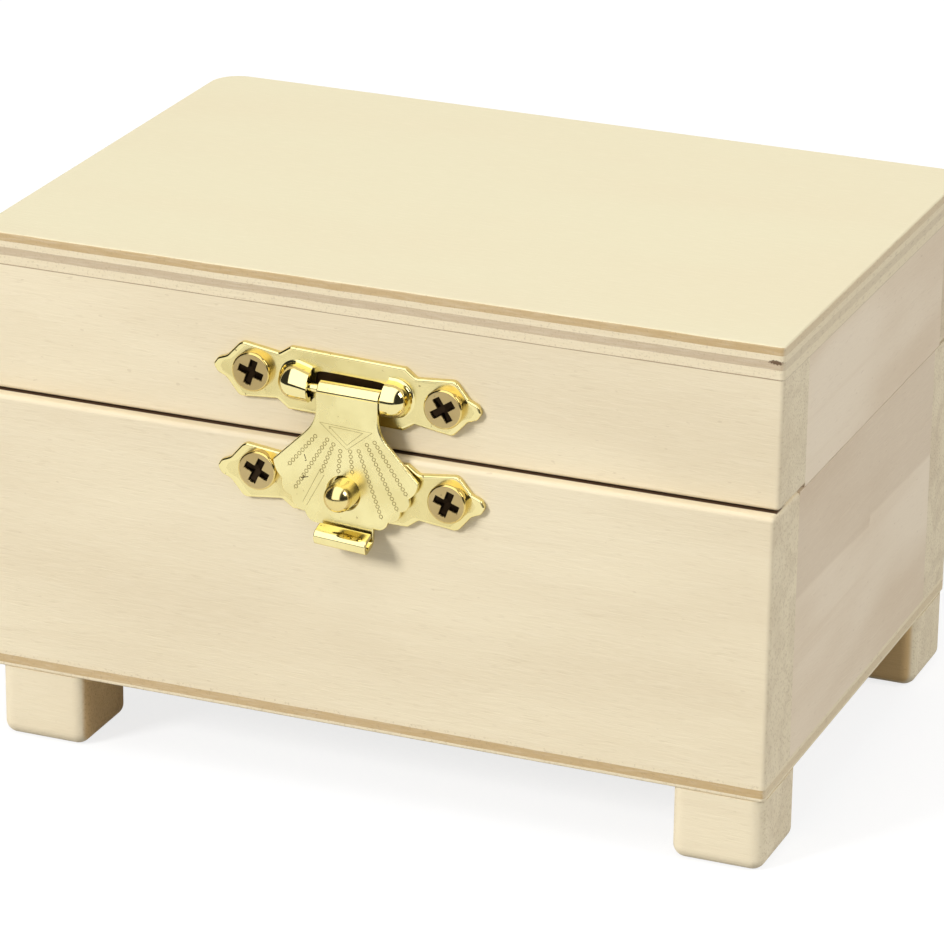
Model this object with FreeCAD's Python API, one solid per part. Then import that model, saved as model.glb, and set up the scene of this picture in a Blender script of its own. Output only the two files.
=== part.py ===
import FreeCAD, Part
import math
import os
from FreeCAD import Vector

# A small treasure chest for keepsakes: a box of solid boards, sawn open into body and lid,
# on four glued feet, with two small butt hinges behind and a pressed brass clasp in front.
# X runs left to right, Y front to back and Z up from the undersides of the feet, in mm.
# The origin is at the bottom centre of the closed chest.

# Wooden box
box_width = 90.0
box_depth = 62.0
board_thickness = 8.0
body_board_height = 29.55
lid_board_height = 13.7
bottom_panel_thickness = 1.8
top_panel_thickness = 3.6
rim_gap = 0.4
lid_setback = 1.5
edge_round = 0.5
panel_edge_round = 0.24
worn_corner_round = 3.5

# Feet: glued blocks, flush with the ends on the right and set in on the left
foot_height = 8.1
foot_width = 10.1
foot_depth = 10.6
foot_side_round = 1.5
foot_bottom_round = 1.4
front_left_foot_inset = 2.55
back_left_foot_inset = 1.0

# Clasp plates: one outline, cut twice
clasp_x = -0.95
clasp_tilt = 2.0
lower_plate_drop = 0.25
upper_plate_rise = 2.55
upper_plate_shift = -0.9
plate_thickness = 0.7
plate_half_height = 3.45
plate_shoulder_x = 6.4
plate_notch_x = 7.6
plate_notch_half_height = 2.5
plate_lobe_x = 11.9
plate_lobe_half_height = 2.9
plate_ogee_x = 13.5
plate_ogee_half_height = 1.0
plate_tip_x = 15.2
plate_corner_round = 0.4
plate_lobe_round = 0.8
plate_ogee_round = 2.0
plate_tip_round = 0.5

# Domed knuckles, pressed out of the upper plate, the left one longer
dome_radius = 1.9
dome_wall = 0.55
left_dome_straight = 1.6
right_dome_straight = 0.7
left_dome_gap = 1.15
right_dome_gap = 0.2

# Clasp hinge pin and hasp, one sheet curled at both ends
clasp_pin_radius = 0.45
clasp_pin_clearance = 0.08
hasp_lean_share = 0.6
hasp_thickness = 0.5
hasp_clearance = 0.35
barrel_sweep = 290.0
neck_half_width = 3.45
neck_length = 3.3
neck_round = 4.0
fan_corner_radius = 8.25
fan_corner_angle = -8.5
fan_notch_radius = 7.8
fan_lobe_bulge = 0.4
fan_lobes = 4
finger_half_width = 3.1
finger_neck_length = 0.75
finger_shift = 0.4
finger_inner_radius = 0.7
finger_sweep = 160.0

# Stud that the hasp drops over
stud_radius = 1.6
stud_length = 4.25
stud_rivet_radius = 0.9
stud_rivet_flare = 1.2
stud_hole_clearance = 0.55
stud_hole_drop = 0.2
stud_below_fan_centre = 3.4

# Clasp screws, pan headed
clasp_screw_x = 10.65
clasp_screw_head_radius = 2.15
clasp_screw_head_height = 1.1
clasp_screw_head_round = 0.25
clasp_screw_shank_radius = 1.1
clasp_screw_length = 6.5
clasp_screw_point = 1.6
screw_hole_clearance = 0.4
lower_screw_shift = 0.25
lower_screw_rise = 0.2

# Butt hinges, let into the rims of the back boards
hinge_inset = 21.0
hinge_length = 16.0
hinge_leaf_reach = 8.0
hinge_leaf_thickness = 0.6
hinge_barrel_radius = 1.1
hinge_back_gap = 0.2
hinge_end_knuckle = 5.0
hinge_knuckle_gap = 0.3
hinge_pin_radius = 0.55
hinge_pin_clearance = 0.05
hinge_pin_head_radius = 0.85
hinge_pin_head_height = 0.35
hinge_seat_clearance = 0.1

# Hinge screws, countersunk, two in each leaf
hinge_screw_x = 4.8
hinge_screw_from_axis = 5.5
hinge_screw_head_radius = 1.4
hinge_screw_shank_radius = 0.75
hinge_screw_length = 6.0
hinge_screw_point = 1.2

# Heights of the wooden parts
board_base = foot_height + bottom_panel_thickness
body_rim = board_base + body_board_height
lid_rim = body_rim + rim_gap
lid_board_top = lid_rim + lid_board_height

# Places from front to back, with the stud's tip and the hinge barrels equally far from the origin
hinge_axis_behind_lid = hinge_barrel_radius + hinge_back_gap
front_reach = plate_thickness + stud_length
back_reach = lid_setback + hinge_axis_behind_lid + hinge_barrel_radius
half_width = box_width / 2
body_front = front_reach - (front_reach + box_depth + back_reach) / 2
body_back = body_front + box_depth
lid_front = body_front + lid_setback
lid_back = body_back + lid_setback

# Hinges, set in from the ends of the box, their axis halfway up the gap between the rims
hinge_x = half_width - hinge_inset
hinge_axis_y = lid_back + hinge_axis_behind_lid
hinge_axis_z = body_rim + rim_gap / 2

# Clasp axis: the hasp's sheet hangs in front of it and clears the lower plate. The hasp hangs
# straighter than the plate it is pinned to, by a share of its play on the pin.
barrel_inner_radius = clasp_pin_radius + clasp_pin_clearance
barrel_outer_radius = barrel_inner_radius + hasp_thickness
lower_plate_z = body_rim - lower_plate_drop - plate_half_height
clasp_axis_z = lid_rim + upper_plate_rise + plate_half_height
clasp_axis_y = body_front - plate_thickness - hasp_clearance + barrel_inner_radius
clasp_axis_point = Vector(clasp_x, clasp_axis_y, clasp_axis_z)
upper_plate_face = lid_front - plate_thickness
lower_plate_face = body_front - plate_thickness
stud_hole_depth = clasp_axis_z - lower_plate_z + stud_hole_drop
fan_centre_depth = stud_hole_depth - stud_below_fan_centre
fan_notch_depth = math.sqrt(fan_notch_radius ** 2 - finger_half_width ** 2)
finger_depth = fan_centre_depth + fan_notch_depth + finger_neck_length
hasp_lean = math.degrees(math.asin(hasp_lean_share * clasp_pin_clearance / neck_half_width))
hasp_tilt = clasp_tilt - hasp_lean

ALONG_X = Vector(1, 0, 0)
ALONG_Y = Vector(0, 1, 0)
UP = Vector(0, 0, 1)
FORWARD = Vector(0, -1, 0)


def block(low_x, high_x, low_y, high_y, low_z, high_z):
    """A box between two opposite corners."""
    size = Vector(high_x - low_x, high_y - low_y, high_z - low_z)
    return Part.makeBox(size.x, size.y, size.z, Vector(low_x, low_y, low_z))


def edges_at(solid, **place):
    """The edges that lie wholly at the given x, y or z."""
    found = []
    for edge in solid.Edges:
        box = edge.BoundBox
        spans = {"x": (box.XMin, box.XMax), "y": (box.YMin, box.YMax), "z": (box.ZMin, box.ZMax)}
        if all(abs(value - side) < 1e-4 for key, value in place.items() for side in spans[key]):
            found.append(edge)
    return found


def rounded_outline(corners):
    """A closed outline in the XZ plane from corners (x, z, radius), each rounded by a tangent arc."""
    starts = []
    ends = []
    edges = []
    for index, (x, z, radius) in enumerate(corners):
        here = Vector(x, 0, z)
        before = Vector(corners[index - 1][0], 0, corners[index - 1][1])
        after = Vector(corners[(index + 1) % len(corners)][0], 0, corners[(index + 1) % len(corners)][1])
        back = (before - here).normalize()
        ahead = (after - here).normalize()
        if radius == 0:
            starts.append(here)
            ends.append(here)
            continue
        half = back.getAngle(ahead) / 2
        reach = radius / math.tan(half)
        bisector = (back + ahead).normalize()
        centre = here + bisector * (radius / math.sin(half))
        starts.append(here + back * reach)
        ends.append(here + ahead * reach)
        edges.append(Part.Arc(starts[-1], centre - bisector * radius, ends[-1]).toShape())
    for index, start in enumerate(starts):
        if start.distanceToPoint(ends[index - 1]) > 1e-6:
            edges.append(Part.LineSegment(ends[index - 1], start).toShape())
    return Part.Wire(Part.__sortEdges__(edges))


def turned(profile, base, direction):
    """A turned solid from corners (radius, height, rounding), set up on base along direction."""
    outline = rounded_outline(profile)
    solid = Part.Face(outline).revolve(Vector(0, 0, 0), UP, 360)
    solid.Placement = FreeCAD.Placement(base, FreeCAD.Rotation(UP, direction))
    return solid


def tilted(solid, angle):
    """The piece turned about the clasp's axis point, because the clasp was screwed on askew."""
    turned_copy = solid.copy()
    turned_copy.rotate(clasp_axis_point, ALONG_Y, angle)
    return turned_copy


# Boards and panels


def sanded_front(solid, front):
    """The upright front corners eased."""
    corners = edges_at(solid, x=-half_width, y=front) + edges_at(solid, x=half_width, y=front)
    return solid.makeFillet(edge_round, corners)


def sanded_back(solid, back):
    """The upright back corners rounded: the left one is worn, the right one only eased."""
    solid = solid.makeFillet(worn_corner_round, edges_at(solid, x=-half_width, y=back))
    return solid.makeFillet(edge_round, edges_at(solid, x=half_width, y=back))


def ring(front, low_z, high_z, rim_z):
    """Four boards: front and back run the full width, and the sides lie between them."""
    back = front + box_depth
    inner_front = front + board_thickness
    inner_back = back - board_thickness
    inner_x = half_width - board_thickness
    front_board = block(-half_width, half_width, front, inner_front, low_z, high_z)
    back_board = block(-half_width, half_width, inner_back, back, low_z, high_z)
    front_board = sanded_front(front_board, front)
    return {
        "front": front_board.makeFillet(edge_round, edges_at(front_board, y=front, z=rim_z)),
        "back": sanded_back(back_board, back),
        "left": block(-half_width, -inner_x, inner_front, inner_back, low_z, high_z),
        "right": block(inner_x, half_width, inner_front, inner_back, low_z, high_z),
    }


def panel(front, thickness, outer_z, facing):
    """A plywood panel over the whole box, its outer face at outer_z, facing up or down and eased."""
    back = front + box_depth
    solid = block(-half_width, half_width, front, back, -thickness, 0)
    solid = sanded_back(sanded_front(solid, front), back)
    solid = solid.makeFillet(panel_edge_round, edges_at(solid, z=0))
    if facing < 0:
        solid = solid.mirror(Vector(0, 0, 0), UP)
    solid.translate(Vector(0, 0, outer_z))
    return solid


def foot(centre_x, centre_y):
    """A foot block, its upright edges rounded and then the edges of its underside."""
    half_x = foot_width / 2
    half_y = foot_depth / 2
    solid = block(-half_x, half_x, -half_y, half_y, 0, foot_height)
    uprights = [edges_at(solid, x=x, y=y) for x in (-half_x, half_x) for y in (-half_y, half_y)]
    solid = solid.makeFillet(foot_side_round, [edge for found in uprights for edge in found])
    solid = solid.makeFillet(foot_bottom_round, edges_at(solid, z=0))
    solid.translate(Vector(centre_x, centre_y, 0))
    return solid


def feet():
    """Four feet under the corners: flush on the right, and set in on the left."""
    right_x = half_width - foot_width / 2
    front_y = body_front + foot_depth / 2
    back_y = body_back - foot_depth / 2
    return {
        "foot_front_left": foot(front_left_foot_inset - right_x, front_y),
        "foot_front_right": foot(right_x, front_y),
        "foot_back_left": foot(back_left_foot_inset - right_x, back_y - back_left_foot_inset),
        "foot_back_right": foot(right_x, back_y),
    }


# Clasp


def clasp_plate(centre_x, face_y, centre_z):
    """One clasp plate: shoulders, notches, screw lobes and ogee tips, with two screw holes."""
    quarter = [
        (plate_shoulder_x, plate_half_height, plate_corner_round),
        (plate_notch_x, plate_notch_half_height, plate_corner_round),
        (plate_lobe_x, plate_lobe_half_height, plate_lobe_round),
        (plate_ogee_x, plate_ogee_half_height, plate_ogee_round),
    ]
    lower = [(x, -z, radius) for x, z, radius in reversed(quarter)]
    right = quarter + [(plate_tip_x, 0, plate_tip_round)] + lower
    left = [(-x, z, radius) for x, z, radius in reversed(right)]
    solid = Part.Face(rounded_outline(right + left)).extrude(ALONG_Y * plate_thickness)
    for x in (-clasp_screw_x, clasp_screw_x):
        radius = clasp_screw_shank_radius + screw_hole_clearance
        solid = solid.cut(Part.makeCylinder(radius, plate_thickness, Vector(x, 0, 0), ALONG_Y))
    solid.translate(Vector(centre_x, face_y, centre_z))
    return solid


def dome(radius, straight, start_x, facing):
    """Half a bullet that lies on the upper plate: a straight barrel from start_x, then a round nose."""
    standoff = upper_plate_face - clasp_axis_y
    lift = standoff + barrel_inner_radius + dome_wall - dome_radius
    slant = radius * math.sqrt(0.5)
    shoulder = Vector(straight, 0, radius)
    nose = Vector(straight + radius, 0, 0)
    half = Part.Face(Part.Wire([
        Part.LineSegment(Vector(0, 0, 0), Vector(0, 0, radius)).toShape(),
        Part.LineSegment(Vector(0, 0, radius), shoulder).toShape(),
        Part.Arc(shoulder, Vector(straight + slant, 0, slant), nose).toShape(),
        Part.LineSegment(nose, Vector(0, 0, 0)).toShape(),
    ]))
    solid = half.revolve(Vector(0, 0, 0), ALONG_X, 180)
    for outline in (half, half.mirror(Vector(0, 0, 0), UP)):
        solid = solid.fuse(outline.extrude(ALONG_Y * (lift + plate_thickness)))
    if facing < 0:
        solid = solid.mirror(Vector(0, 0, 0), ALONG_X)
    solid.translate(Vector(clasp_x + start_x, upper_plate_face - lift, clasp_axis_z))
    return solid.removeSplitter()


def upper_plate():
    """The upper plate with two hollow domes pressed out of it, open towards the hasp's barrel."""
    solid = clasp_plate(clasp_x + upper_plate_shift, upper_plate_face, clasp_axis_z)
    for start_x, straight, facing in (
        (-neck_half_width - left_dome_gap, left_dome_straight, -1),
        (neck_half_width + right_dome_gap, right_dome_straight, 1),
    ):
        solid = solid.fuse(dome(dome_radius, straight, start_x, facing))
        solid = solid.cut(dome(dome_radius - dome_wall, straight, start_x, facing))
    return tilted(solid.removeSplitter(), clasp_tilt)


def clasp_pin():
    """The pin through the hasp's barrel, its ends inside the domes."""
    left_reach = neck_half_width + left_dome_gap + left_dome_straight
    right_reach = neck_half_width + right_dome_gap + right_dome_straight
    start = clasp_axis_point - ALONG_X * left_reach
    pin = Part.makeCylinder(clasp_pin_radius, left_reach + right_reach, start, ALONG_X)
    return tilted(pin, clasp_tilt)


def curled_sheet(centre, inner_radius, thickness, start, end, half_width_x):
    """A curl of sheet: a ring sector in the YZ plane from angle start to end, run along X."""

    def at(radius, angle):
        turn = math.radians(angle)
        return centre + Vector(-half_width_x, radius * math.cos(turn), radius * math.sin(turn))

    outer_radius = inner_radius + thickness
    middle = (start + end) / 2
    section = Part.Wire([
        Part.Arc(at(outer_radius, start), at(outer_radius, middle), at(outer_radius, end)).toShape(),
        Part.LineSegment(at(outer_radius, end), at(inner_radius, end)).toShape(),
        Part.Arc(at(inner_radius, end), at(inner_radius, middle), at(inner_radius, start)).toShape(),
        Part.LineSegment(at(inner_radius, start), at(outer_radius, start)).toShape(),
    ])
    return Part.Face(section).extrude(ALONG_X * 2 * half_width_x)


def fan_point(angle, radius):
    """A point at an angle on a circle about the fan's centre."""
    turn = math.radians(angle)
    return Vector(radius * math.cos(turn), 0, radius * math.sin(turn) - fan_centre_depth)


def hasp_side(finger_reach):
    """The right edge of the hasp: neck, flare to the fan's corner, scallops and finger tab, which
    reaches this far out."""
    top = Vector(neck_half_width, 0, 0)
    bend = Vector(neck_half_width, 0, -neck_length)
    corner = fan_point(fan_corner_angle, fan_corner_radius)
    flare = (corner - bend).normalize()
    half = flare.getAngle(UP) / 2
    reach = neck_round / math.tan(half)
    bisector = (UP + flare).normalize()
    on_arc = bend + bisector * (neck_round / math.sin(half) - neck_round)
    edges = [
        Part.LineSegment(top, bend + UP * reach).toShape(),
        Part.Arc(bend + UP * reach, on_arc, bend + flare * reach).toShape(),
        Part.LineSegment(bend + flare * reach, corner).toShape(),
    ]
    last_angle = math.degrees(math.asin(finger_reach / fan_notch_radius)) - 90
    step = (last_angle - fan_corner_angle) / fan_lobes
    start = corner
    for lobe in range(fan_lobes):
        angle = fan_corner_angle + (lobe + 1) * step
        crest = fan_point(angle - step / 2, fan_notch_radius + fan_lobe_bulge)
        end = fan_point(angle, fan_notch_radius)
        edges.append(Part.Arc(start, crest, end).toShape())
        start = end
    tab_corner = Vector(finger_reach, 0, -finger_depth)
    edges.append(Part.LineSegment(start, tab_corner).toShape())
    return edges


def hasp():
    """The hasp: a scalloped fan of sheet, curled round the pin above and into a finger lip below."""
    left_reach = finger_half_width - finger_shift
    right_reach = finger_half_width + finger_shift
    left = [edge.mirror(Vector(0, 0, 0), ALONG_X) for edge in hasp_side(left_reach)]
    right = hasp_side(right_reach)
    across = [
        Part.LineSegment(Vector(-neck_half_width, 0, 0), Vector(neck_half_width, 0, 0)).toShape(),
        Part.LineSegment(
            Vector(-left_reach, 0, -finger_depth), Vector(right_reach, 0, -finger_depth)
        ).toShape(),
    ]
    outline = Part.Wire(Part.__sortEdges__(right + left + across))
    blade = Part.Face(outline).extrude(ALONG_Y * hasp_thickness)
    blade.translate(FORWARD * barrel_outer_radius)
    hole_radius = stud_radius + stud_hole_clearance
    hole_start = Vector(0, -barrel_outer_radius, -stud_hole_depth)
    blade = blade.cut(Part.makeCylinder(hole_radius, hasp_thickness, hole_start, ALONG_Y))
    barrel = curled_sheet(
        Vector(0, 0, 0), barrel_inner_radius, hasp_thickness, 180, 180 - barrel_sweep, neck_half_width
    )
    finger_centre = Vector(finger_shift, -barrel_outer_radius - finger_inner_radius, -finger_depth)
    finger = curled_sheet(
        finger_centre, finger_inner_radius, hasp_thickness, 0, -finger_sweep, finger_half_width
    )
    solid = blade.fuse(barrel).fuse(finger).removeSplitter()
    solid.translate(clasp_axis_point)
    return tilted(solid, hasp_tilt)


def stud():
    """The round-nosed stud, riveted through the lower plate and spread in its countersunk back."""
    return turned([
        (0, -plate_thickness, 0),
        (stud_rivet_flare, -plate_thickness, 0),
        (stud_rivet_radius, 0, 0),
        (stud_radius, 0, 0),
        (stud_radius, stud_length, stud_radius),
        (0, stud_length, 0),
    ], Vector(clasp_x, lower_plate_face, lower_plate_z), FORWARD)


def clasp_screw(x, face_y, z):
    """A pan-headed wood screw, driven back through a plate into the board."""
    return turned([
        (0, -clasp_screw_length, 0),
        (clasp_screw_shank_radius, clasp_screw_point - clasp_screw_length, 0),
        (clasp_screw_shank_radius, 0, 0),
        (clasp_screw_head_radius, 0, 0),
        (clasp_screw_head_radius, clasp_screw_head_height, clasp_screw_head_round),
        (0, clasp_screw_head_height, 0),
    ], Vector(x, face_y, z), FORWARD)


def clasp_screws(centre_x, face_y, z):
    """The two screws of one plate."""
    return [clasp_screw(centre_x + x, face_y, z) for x in (-clasp_screw_x, clasp_screw_x)]


# Hinges


def hinge_leaf(centre_x, above):
    """A hinge leaf: the body's has the two end knuckles, the lid's the middle one."""
    low_z = -rim_gap / 2 - hinge_leaf_thickness
    high_z = -rim_gap / 2
    half_length = hinge_length / 2
    middle_half = half_length - hinge_end_knuckle - hinge_knuckle_gap
    plate_end = -hinge_barrel_radius - hinge_knuckle_gap
    leaf = block(-half_length, half_length, -hinge_leaf_reach, plate_end, low_z, high_z)
    end_start = half_length - hinge_end_knuckle
    spans = [(-half_length, -end_start), (end_start, half_length)]
    if above:
        spans = [(-middle_half, middle_half)]
    for low_x, high_x in spans:
        start = Vector(low_x, 0, 0)
        leaf = leaf.fuse(block(low_x, high_x, plate_end, 0, low_z, high_z))
        leaf = leaf.fuse(Part.makeCylinder(hinge_barrel_radius, high_x - low_x, start, ALONG_X))
    bore_radius = hinge_pin_radius + hinge_pin_clearance
    bore_start = Vector(-half_length, 0, 0)
    leaf = leaf.removeSplitter().cut(Part.makeCylinder(bore_radius, hinge_length, bore_start, ALONG_X))
    if above:
        leaf = leaf.mirror(Vector(0, 0, 0), UP)
    leaf.translate(Vector(centre_x, hinge_axis_y, hinge_axis_z))
    return leaf


def hinge_seat(centre_x, above):
    """The recess that takes one leaf in the rim of a back board, open behind."""
    half_length = hinge_length / 2 + hinge_seat_clearance
    front = hinge_axis_y - hinge_leaf_reach - hinge_seat_clearance
    low_z = lid_rim if above else body_rim - hinge_leaf_thickness
    high_z = low_z + hinge_leaf_thickness
    return block(centre_x - half_length, centre_x + half_length, front, hinge_axis_y, low_z, high_z)


def hinge_pin(centre_x):
    """A hinge pin with a small head at each end."""
    half_length = hinge_length / 2
    end = half_length + hinge_pin_head_height
    return turned([
        (0, -end, 0),
        (hinge_pin_head_radius, -end, 0),
        (hinge_pin_head_radius, -half_length, 0),
        (hinge_pin_radius, -half_length, 0),
        (hinge_pin_radius, half_length, 0),
        (hinge_pin_head_radius, half_length, 0),
        (hinge_pin_head_radius, end, 0),
        (0, end, 0),
    ], Vector(centre_x, hinge_axis_y, hinge_axis_z), ALONG_X)


def hinge_screws(centre_x, above):
    """The two countersunk screws of one leaf, their heads flush with it."""
    outward = -UP if above else UP
    face_z = lid_rim if above else body_rim
    made = []
    for x in (-hinge_screw_x, hinge_screw_x):
        place = Vector(centre_x + x, hinge_axis_y - hinge_screw_from_axis, face_z)
        made.append(turned([
            (0, -hinge_screw_length, 0),
            (hinge_screw_shank_radius, hinge_screw_point - hinge_screw_length, 0),
            (hinge_screw_shank_radius, -hinge_leaf_thickness, 0),
            (hinge_screw_head_radius, 0, 0),
            (0, 0, 0),
        ], place, outward))
    return made


def drilled(solid, screws):
    """The solid with a hole for each screw that enters it."""
    for screw in screws:
        solid = solid.cut(screw)
    return solid


# Assembly


def chest():
    """Every node of the chest by name, each with its solids."""
    nodes = {}

    body = ring(body_front, board_base, body_rim, body_rim)
    lid = ring(lid_front, lid_rim, lid_board_top, lid_rim)
    lower_screws = clasp_screws(
        clasp_x + lower_screw_shift, lower_plate_face, lower_plate_z + lower_screw_rise
    )
    upper_screws = [
        tilted(screw, clasp_tilt)
        for screw in clasp_screws(clasp_x + upper_plate_shift, upper_plate_face, clasp_axis_z)
    ]
    body["front"] = drilled(body["front"], lower_screws)
    lid["front"] = drilled(lid["front"], upper_screws)

    body_hinge_screws = []
    lid_hinge_screws = []
    for side, centre_x in (("left", -hinge_x), ("right", hinge_x)):
        for above, boards, screws, name in (
            (False, body, body_hinge_screws, f"hinge_{side}_body_leaf"),
            (True, lid, lid_hinge_screws, f"hinge_{side}_lid_leaf"),
        ):
            driven = hinge_screws(centre_x, above)
            nodes[name] = [drilled(hinge_leaf(centre_x, above), driven)]
            boards["back"] = drilled(boards["back"].cut(hinge_seat(centre_x, above)), driven)
            screws.extend(driven)
        nodes[f"hinge_{side}_pin"] = [hinge_pin(centre_x)]

    for side in ("front", "back", "left", "right"):
        nodes[f"body_{side}_board"] = [body[side]]
        nodes[f"lid_{side}_board"] = [lid[side]]
    lid_top = lid_board_top + top_panel_thickness
    nodes["bottom_panel"] = [panel(body_front, bottom_panel_thickness, foot_height, -1)]
    nodes["lid_top_panel"] = [panel(lid_front, top_panel_thickness, lid_top, 1)]
    for name, solid in feet().items():
        nodes[name] = [solid]

    lower_plate = clasp_plate(clasp_x, lower_plate_face, lower_plate_z)
    nodes["clasp_lower_plate"] = [lower_plate.cut(stud())]
    nodes["clasp_stud"] = [stud()]
    nodes["clasp_upper_plate"] = [upper_plate()]
    nodes["clasp_hinge_pin"] = [clasp_pin()]
    nodes["clasp_hasp"] = [hasp()]
    nodes["clasp_lower_screws"] = lower_screws
    nodes["clasp_upper_screws"] = upper_screws
    nodes["hinge_body_screws"] = body_hinge_screws
    nodes["hinge_lid_screws"] = lid_hinge_screws
    return nodes


os.makedirs("parts", exist_ok=True)
for node, solids in chest().items():
    shape = Part.makeCompound(solids) if len(solids) > 1 else solids[0]
    shape.exportStep(f"parts/{node}.step")
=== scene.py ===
import math

import bmesh
import bpy
import numpy as np
from mathutils import Matrix, Vector


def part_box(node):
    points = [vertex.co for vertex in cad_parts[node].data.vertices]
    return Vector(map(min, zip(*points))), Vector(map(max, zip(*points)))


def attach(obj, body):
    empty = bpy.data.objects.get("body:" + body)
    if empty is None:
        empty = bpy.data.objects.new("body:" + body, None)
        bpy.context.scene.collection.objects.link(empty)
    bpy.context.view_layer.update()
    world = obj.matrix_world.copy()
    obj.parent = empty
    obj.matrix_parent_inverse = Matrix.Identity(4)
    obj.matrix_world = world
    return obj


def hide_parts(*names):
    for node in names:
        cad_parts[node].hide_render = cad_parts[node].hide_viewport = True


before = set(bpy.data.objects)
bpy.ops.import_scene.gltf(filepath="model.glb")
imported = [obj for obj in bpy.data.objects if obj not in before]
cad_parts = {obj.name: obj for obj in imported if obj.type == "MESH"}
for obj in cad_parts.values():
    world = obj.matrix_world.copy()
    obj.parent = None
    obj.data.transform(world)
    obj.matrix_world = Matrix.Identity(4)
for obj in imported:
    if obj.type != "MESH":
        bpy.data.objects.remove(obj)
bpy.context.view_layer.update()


# The room. A wide pale floor, with a soft lamp in front on the left, one on the right and one
# above. Polished metal mirrors a white table top and ceiling in a dark room.


def shader(tree, kind, inputs=None, **settings):
    """Adds one shader node. An input is a plain value, or another node's output to join it to."""
    made = tree.nodes.new(kind)
    for key, value in settings.items():
        setattr(made, key, value)
    for key, value in (inputs or {}).items():
        if isinstance(value, bpy.types.NodeSocket):
            tree.links.new(value, made.inputs[key])
        else:
            made.inputs[key].default_value = value
    return made


def math_node(tree, operation, *values):
    """The output of one Math node: operation(values)."""
    return shader(tree, "ShaderNodeMath", dict(enumerate(values)), operation=operation).outputs[0]


def between(tree, value, low, high, to_low=0.0, to_high=1.0):
    """The value carried smoothly from low..high to to_low..to_high, and held beyond."""
    made = shader(
        tree,
        "ShaderNodeMapRange",
        {"Value": value, "From Min": low, "From Max": high, "To Min": to_low, "To Max": to_high},
        interpolation_type="SMOOTHSTEP",
    )
    return made.outputs[0]


def new_material(name):
    """An empty node material and its output node."""
    material = bpy.data.materials.new(name)
    material.use_nodes = True
    material.node_tree.nodes.clear()
    return material, shader(material.node_tree, "ShaderNodeOutputMaterial")


FLOOR_REACH = 3.0
FLOOR_DIFFUSE = 0.42
FLOOR_SHOWN_DIFFUSE = 0.26
FLOOR_SHOWN_GLOW = 0.78
TABLE_REACH = 0.25
ROOM_DARK = 0.045

floor_mesh = bpy.data.meshes.new("floor")
floor_mesh.from_pydata(
    [(x * FLOOR_REACH, y * FLOOR_REACH, 0) for x, y in ((-1, -1), (1, -1), (1, 1), (-1, 1))],
    [],
    [(0, 1, 2, 3)],
)
floor = bpy.data.objects.new("floor", floor_mesh)
bpy.context.scene.collection.objects.link(floor)

floor_paper, floor_end = new_material("floor_paper")
tree = floor_paper.node_tree
rays = shader(tree, "ShaderNodeLightPath").outputs
seen = math_node(tree, "MAXIMUM", rays["Is Camera Ray"], rays["Is Glossy Ray"])
seen = math_node(tree, "MAXIMUM", seen, rays["Is Transmission Ray"])
plain = shader(tree, "ShaderNodeBsdfDiffuse", {"Color": (FLOOR_DIFFUSE,) * 3 + (1,)})
shown = shader(tree, "ShaderNodeBsdfDiffuse", {"Color": (FLOOR_SHOWN_DIFFUSE,) * 3 + (1,)})
glow = shader(tree, "ShaderNodeEmission", {"Strength": FLOOR_SHOWN_GLOW})
shown = shader(tree, "ShaderNodeAddShader", {0: shown.outputs[0], 1: glow.outputs[0]})
both = shader(tree, "ShaderNodeMixShader", {0: seen, 1: plain.outputs[0], 2: shown.outputs[0]})
place = shader(tree, "ShaderNodeTexCoord").outputs["Object"]
reach = shader(tree, "ShaderNodeVectorMath", {0: place}, operation="LENGTH").outputs["Value"]
beyond = between(tree, reach, TABLE_REACH, 1.1 * TABLE_REACH)
beyond = math_node(tree, "MULTIPLY", beyond, rays["Is Glossy Ray"])
dark = shader(tree, "ShaderNodeEmission", {"Strength": ROOM_DARK})
both = shader(tree, "ShaderNodeMixShader", {0: beyond, 1: both.outputs[0], 2: dark.outputs[0]})
tree.links.new(both.outputs[0], floor_end.inputs["Surface"])
floor_mesh.materials.append(floor_paper)

# Plain ambient light. Mirrored in metal, the room is dark but for a white ceiling, which reaches
# from just above the horizon in front, right over the chest, to the backdrop behind.
AMBIENT = 0.53
CEILING_WHITE = 2.3
CEILING_LEFT = -0.50
CEILING_RIGHT = 0.46
CEILING_LOW = 0.04

world = bpy.data.worlds.new("room")
world.use_nodes = True
tree = world.node_tree
tree.nodes.clear()
rays = shader(tree, "ShaderNodeLightPath").outputs
heading = shader(tree, "ShaderNodeTexCoord").outputs["Generated"]
heading = shader(tree, "ShaderNodeSeparateXYZ", {0: heading}).outputs
ceiling = between(tree, heading["X"], CEILING_LEFT - 0.06, CEILING_LEFT + 0.06)
edge = between(tree, heading["X"], CEILING_RIGHT - 0.08, CEILING_RIGHT + 0.08, 1.0, 0.0)
ceiling = math_node(tree, "MULTIPLY", ceiling, edge)
edge = between(tree, heading["Z"], CEILING_LOW - 0.03, CEILING_LOW + 0.03)
ceiling = math_node(tree, "MULTIPLY", ceiling, edge)
room = math_node(tree, "MULTIPLY_ADD", ceiling, CEILING_WHITE - ROOM_DARK, ROOM_DARK)
ambient = shader(tree, "ShaderNodeBackground", {"Strength": AMBIENT})
mirrored = shader(tree, "ShaderNodeBackground", {"Strength": room})
white = shader(tree, "ShaderNodeBackground", {"Strength": 1.0})
sides = {0: rays["Is Glossy Ray"], 1: ambient.outputs[0], 2: mirrored.outputs[0]}
both = shader(tree, "ShaderNodeMixShader", sides)
sides = {0: rays["Is Camera Ray"], 1: both.outputs[0], 2: white.outputs[0]}
both = shader(tree, "ShaderNodeMixShader", sides)
shader(tree, "ShaderNodeOutputWorld", {"Surface": both.outputs[0]})
bpy.context.scene.world = world


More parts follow.
